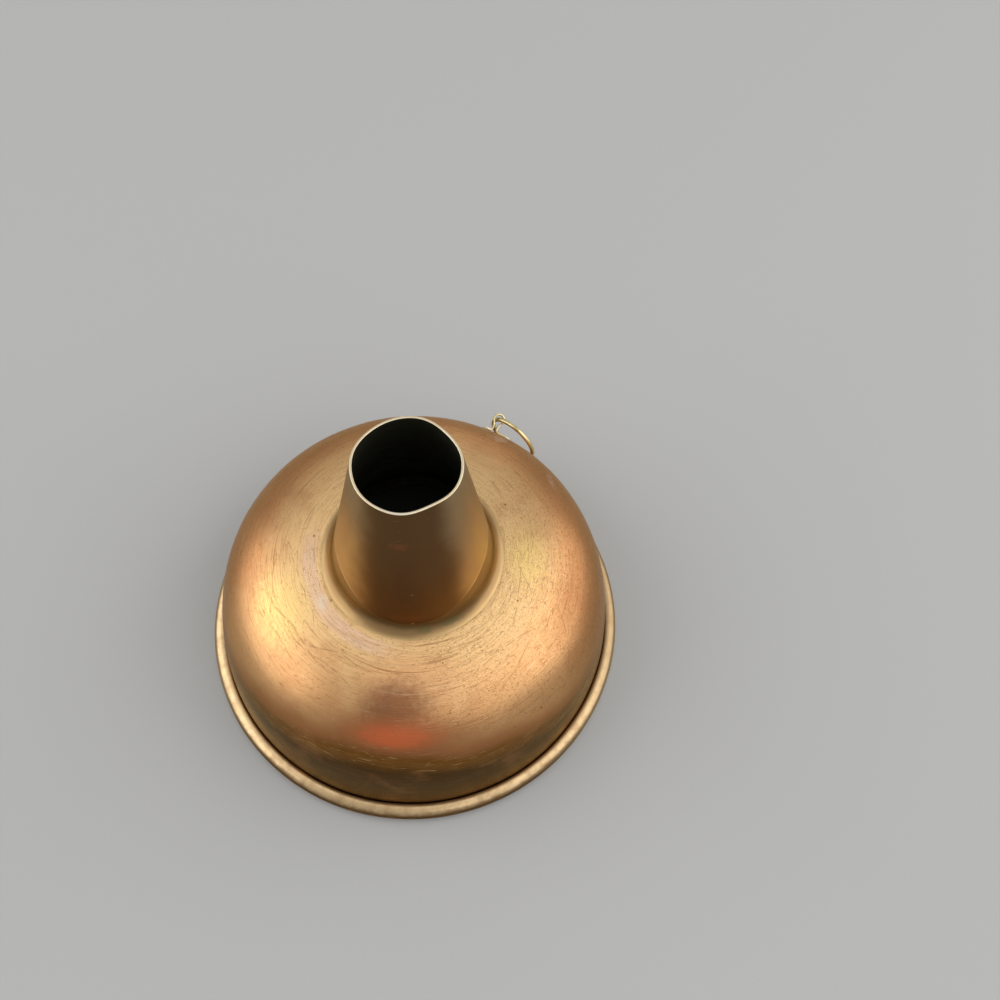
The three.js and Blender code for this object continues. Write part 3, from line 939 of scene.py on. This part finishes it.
# Hanger: a strap bent to an eye, held by two pads of solder on the back right of the wall
hangerShape = {
    "angle": 59,
    "height": 25,
    "turn": 21,
    "strap": 0.45,
    "width": 1.0,
    "eyeHeight": 3.75,
    "waist": 0.55,
    "waistAngle": 55,
    "bend": 0.6,
    "leftFoot": 1.2,
    "rightFoot": 3.6,
    "ringWire": 1.1,
    "ringSlant": 21,
    "softness": 0.13,
    "wear": 0.06,  # the share of its section that is worn off at most
    "legSteps": 9,
    "bendSteps": 8,
    "eyeSteps": 36,
}
padShape = {
    "overhang": 0.9,  # how far the solder runs past the foot's end
    "halfWidth": 1.35,
    "thickness": 0.56,
    "ragged": 0.22,
    "lump": 0.10,
    "steps": 40,
    "levels": 12,
}
brassMaterial = plainMetal(
    "worn brass", (0.80, 0.70, 0.36, 1), (0.62, 0.52, 0.25, 1),
    roughness=0.26, size=260.0, bump=0.00004, mark=(0.25, 0.19, 0.07, 1),
)
strapBrass = plainMetal(
    "pale strap brass", (0.82, 0.74, 0.50, 1), (0.60, 0.49, 0.27, 1),
    roughness=0.30, size=420.0, bump=0.00005, mark=(0.20, 0.16, 0.06, 1),
)
padSolder = plainMetal(
    "hanger solder", (0.62, 0.49, 0.40, 1), (0.40, 0.27, 0.18, 1),
    roughness=0.38, size=600.0, bump=0.0001, mark=(0.80, 0.72, 0.64, 1),
)


def bowlAt(t):
    a, b, c, d = bowlHandles
    s = 1 - t
    place = a * s**3 + b * 3 * s * s * t + c * 3 * s * t * t + d * t**3
    run = (b - a) * s * s + (c - b) * 2 * s * t + (d - c) * t * t
    return place, run.normalized()


def hangerPlace():  # where the hanger's middle sits on the bowl, and its three ways
    low, high = 0.0, 1.0
    for _ in range(40):
        middle = (low + high) / 2
        if bowlAt(middle)[0].y > hangerShape["height"]:
            low = middle
        else:
            high = middle
    seat, run = bowlAt(low)
    before, runBefore = bowlAt(low - 0.02)
    after, runAfter = bowlAt(low + 0.02)
    curve = (after - before).length / abs(runBefore.angle_signed(runAfter))
    turn = math.radians(hangerShape["angle"])
    around = Vector((math.sin(turn), -math.cos(turn), 0))
    off = Vector((-run.y * math.cos(turn), -run.y * math.sin(turn), run.x))
    up = around.cross(off)
    turned = Matrix.Rotation(math.radians(hangerShape["turn"]), 3, "Y")
    ways = Matrix((around, off, up)).transposed() @ turned
    origin = Vector((seat.x * math.cos(turn), seat.x * math.sin(turn), seat.y))
    return origin, ways, seat.x / -run.y, curve


hangerOrigin, hangerWays, bowlRound, bowlUp = hangerPlace()


def fallAway(x, z=0.0):  # how far the bowl falls away from the hanger's seat
    turn = math.radians(hangerShape["turn"])
    around = x * math.cos(turn) + z * math.sin(turn)
    up = z * math.cos(turn) - x * math.sin(turn)
    return around**2 / (2 * bowlRound) + up**2 / (2 * bowlUp)


def onHanger(x, y, z):  # a point beside the hanger's seat, in metres
    return (hangerOrigin + hangerWays @ Vector((x, y, z))) * mm


def bentLine(a, b, c, steps):  # a curve from a to c that leans towards b
    spots = [i / steps for i in range(steps + 1)]
    return [a * (1 - t) ** 2 + b * 2 * t * (1 - t) + c * t * t for t in spots]


def strapLine():  # the strap's middle line, from the right foot round the eye to the left foot
    shape = hangerShape
    slant = math.radians(shape["ringSlant"])
    wireReach = shape["ringWire"] / 2 / math.cos(slant) + shape["width"] / 2 * math.tan(slant)
    eye = wireReach + bowlShape["gap"] + shape["strap"] / 2
    turn = math.radians(shape["waistAngle"])
    foot = bowlShape["gap"] + shape["strap"] / 2

    def side(sign, length):
        start = Vector((sign * eye * math.sin(turn), shape["eyeHeight"] - eye * math.cos(turn)))
        rise = (eye * math.sin(turn) - shape["waist"]) * math.tan(turn)
        bendStart = shape["waist"] + shape["bend"]
        end = bendStart + length
        line = []
        for i in range(shape["legSteps"]):
            x = end + (bendStart - end) * i / shape["legSteps"]
            line.append(Vector((sign * x, foot - fallAway(x))))
        a = Vector((sign * bendStart, foot - fallAway(bendStart)))
        b = Vector((sign * shape["waist"], foot))
        c = Vector((sign * shape["waist"], foot + shape["bend"]))
        d = Vector((sign * shape["waist"], start.y - rise))
        line += bentLine(a, b, c, shape["bendSteps"])
        return line + bentLine(c, d, start, shape["bendSteps"])[1:]

    over = []
    for i in range(1, shape["eyeSteps"]):
        angle = -math.pi / 2 + turn + i / shape["eyeSteps"] * (2 * math.pi - 2 * turn)
        over.append(Vector((0, shape["eyeHeight"])) + Vector((math.cos(angle), math.sin(angle))) * eye)
    return side(1, shape["rightFoot"]) + over + side(-1, shape["leftFoot"])[::-1]


def makeStrap():
    line = strapLine()
    soft = hangerShape["softness"]
    halfThick = hangerShape["strap"] / 2
    halfWide = hangerShape["width"] / 2
    outline = []
    for signX, signZ, start in ((1, 1, 0), (-1, 1, 90), (-1, -1, 180), (1, -1, 270)):
        centre = Vector((signX * (halfThick - soft), signZ * (halfWide - soft)))
        outline += arc(centre, soft, start, start + 90, 4)
    rings = []
    for i, place in enumerate(line):
        run = (line[min(i + 1, len(line) - 1)] - line[max(i - 1, 0)]).normalized()
        left = Vector((-run.y, run.x))
        worn = 1 - hangerShape["wear"] * (0.5 + softNoise(Vector((place.x, place.y, 0)), 0.8, 4.0))
        if i in (0, len(line) - 1):
            worn *= 0.8
        ring = []
        for across in outline:
            spotOn = place + left * across.x * worn
            ring.append(onHanger(spotOn.x, spotOn.y, across.y * worn))
        rings.append(ring)
    points, faces = sweptMesh(rings, closed=False)
    return makePiece("strap_with_eye", points, faces, [strapBrass], "hanger_strap")


def makePad(name, node, side, length, seed):  # a low lump of solder round a foot
    shape = padShape
    start = side * (hangerShape["waist"] + hangerShape["bend"] * 0.4)
    end = side * (hangerShape["waist"] + hangerShape["bend"] + length + shape["overhang"])
    middle = (start + end) / 2
    half = abs(end - start) / 2
    turns = [side * 2 * math.pi * k / shape["steps"] for k in range(shape["steps"])]
    below = -0.12 - fallAway(middle)
    base = []
    for turn in turns:
        base.append(onHanger(middle + half * 0.9 * math.cos(turn), below, 1.2 * math.sin(turn)))
    rings = [base]
    for level in range(shape["levels"]):
        out = 1 - level / shape["levels"]
        ring = []
        for turn in turns:
            edge = softNoise(Vector((math.cos(turn), math.sin(turn), seed)), 0.6, seed)
            ragged = 1 + shape["ragged"] * edge
            x = middle + half * out * ragged * math.cos(turn)
            z = shape["halfWidth"] * out * ragged * math.sin(turn)
            lump = shape["lump"] * softNoise(Vector((x, z, 0)), 0.7, seed) * (1 - out)
            y = shape["thickness"] * (1 - out**2.4) ** 0.7 + lump - fallAway(x, z) - 0.02
            ring.append(onHanger(x, y, z))
        rings.append(ring)
    points, faces = sweptMesh(rings, closed=False)
    return makePiece(name, points, faces, [padSolder], node)


makeStrap()
makePad("solder_pad_left", "hanger_solder_left", -1, hangerShape["leftFoot"], 1.3)
makePad("solder_pad_right", "hanger_solder_right", 1, hangerShape["rightFoot"], 6.1)
print("strap and pads made")

# Ring: round brass wire, swinging in the eye
ringShape = {"steps": 160, "wireSteps": 20, "ringDiameter": 12.8, "unevenness": 0.02}


def makeRing():
    given = np.array([v.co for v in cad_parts["hanging_ring"].data.vertices])
    centre = Vector(given.mean(axis=0))
    axis = Vector(np.linalg.svd(given - given.mean(axis=0), full_matrices=False)[2][2])
    turnTo = axis.to_track_quat("Z", "X").to_matrix()
    rings = []
    for i in range(ringShape["steps"]):
        turn = 2 * math.pi * i / ringShape["steps"]
        out = Vector((math.cos(turn), math.sin(turn), 0))
        thinner = ringShape["unevenness"] * (0.5 + 0.5 * math.sin(5 * turn))
        thick = hangerShape["ringWire"] / 2 * (1 - thinner)
        ring = []
        for k in range(ringShape["wireSteps"]):
            around = 2 * math.pi * k / ringShape["wireSteps"]
            offset = out * math.cos(around) * thick + Vector((0, 0, math.sin(around) * thick))
            ring.append(turnTo @ ((out * ringShape["ringDiameter"] / 2 + offset) * mm) + centre)
        rings.append(ring)
    points, faces = sweptMesh(rings, closed=True)
    return makePiece("swinging_ring", points, faces, [brassMaterial], "hanging_ring", body="ring")


makeRing()
print("ring made")

# Studio: pale floor, large soft lamps on both sides, weaker ones above, even surroundings
studio = {
    "floor": (0.46, 0.46, 0.455, 1),
    "world": (0.50, 0.50, 0.49, 1),
    "lamps": {  # way to the lamp (azimuth, elevation), distance, size and radiance
        "left soft light": (177, 27, 1.2, 1.5, 1.2),
        "right soft light": (0, 25, 1.2, 1.5, 1.15),
        "front soft light": (-52, 44, 1.2, 1.1, 0.66),
        "upper right soft light": (0, 67, 1.2, 0.85, 0.88),
        "upper left soft light": (150, 66, 1.2, 0.85, 0.49),
        "back soft light": (75, 14, 1.2, 0.85, 0.27),
    },
}


def makeStudio():
    floorMaterial = bpy.data.materials.new("pale floor")
    floorMaterial.use_nodes = True
    shader = floorMaterial.node_tree.nodes["Principled BSDF"]
    shader.inputs["Base Color"].default_value = studio["floor"]
    shader.inputs["Roughness"].default_value = 0.7
    shader.inputs["Specular IOR Level"].default_value = 0.2
    reach = 3.0
    corners = [(-reach, -reach, 0), (reach, -reach, 0), (reach, reach, 0), (-reach, reach, 0)]
    mesh = bpy.data.meshes.new("floor")
    mesh.from_pydata(corners, [], [(0, 1, 2, 3)])
    mesh.materials.append(floorMaterial)
    floor = bpy.data.objects.new("floor", mesh)
    bpy.context.scene.collection.objects.link(floor)
    world = bpy.data.worlds.new("even light")
    world.use_nodes = True
    world.node_tree.nodes["Background"].inputs["Color"].default_value = studio["world"]
    bpy.context.scene.world = world
    for name, (azimuth, elevation, distance, size, radiance) in studio["lamps"].items():
        a, e = math.radians(azimuth), math.radians(elevation)
        way = Vector((math.cos(a) * math.cos(e), math.sin(a) * math.cos(e), math.sin(e)))
        lamp = bpy.data.lights.new(name, "AREA")
        lamp.shape = "DISK"
        lamp.size = size
        lamp.energy = radiance * math.pi * math.pi * (size / 2) ** 2
        holder = bpy.data.objects.new(name, lamp)
        holder.location = way * distance
        holder.rotation_mode = "QUATERNION"
        holder.rotation_quaternion = (-way).to_track_quat("-Z", "Y")
        bpy.context.scene.collection.objects.link(holder)


makeStudio()
print("studio made")
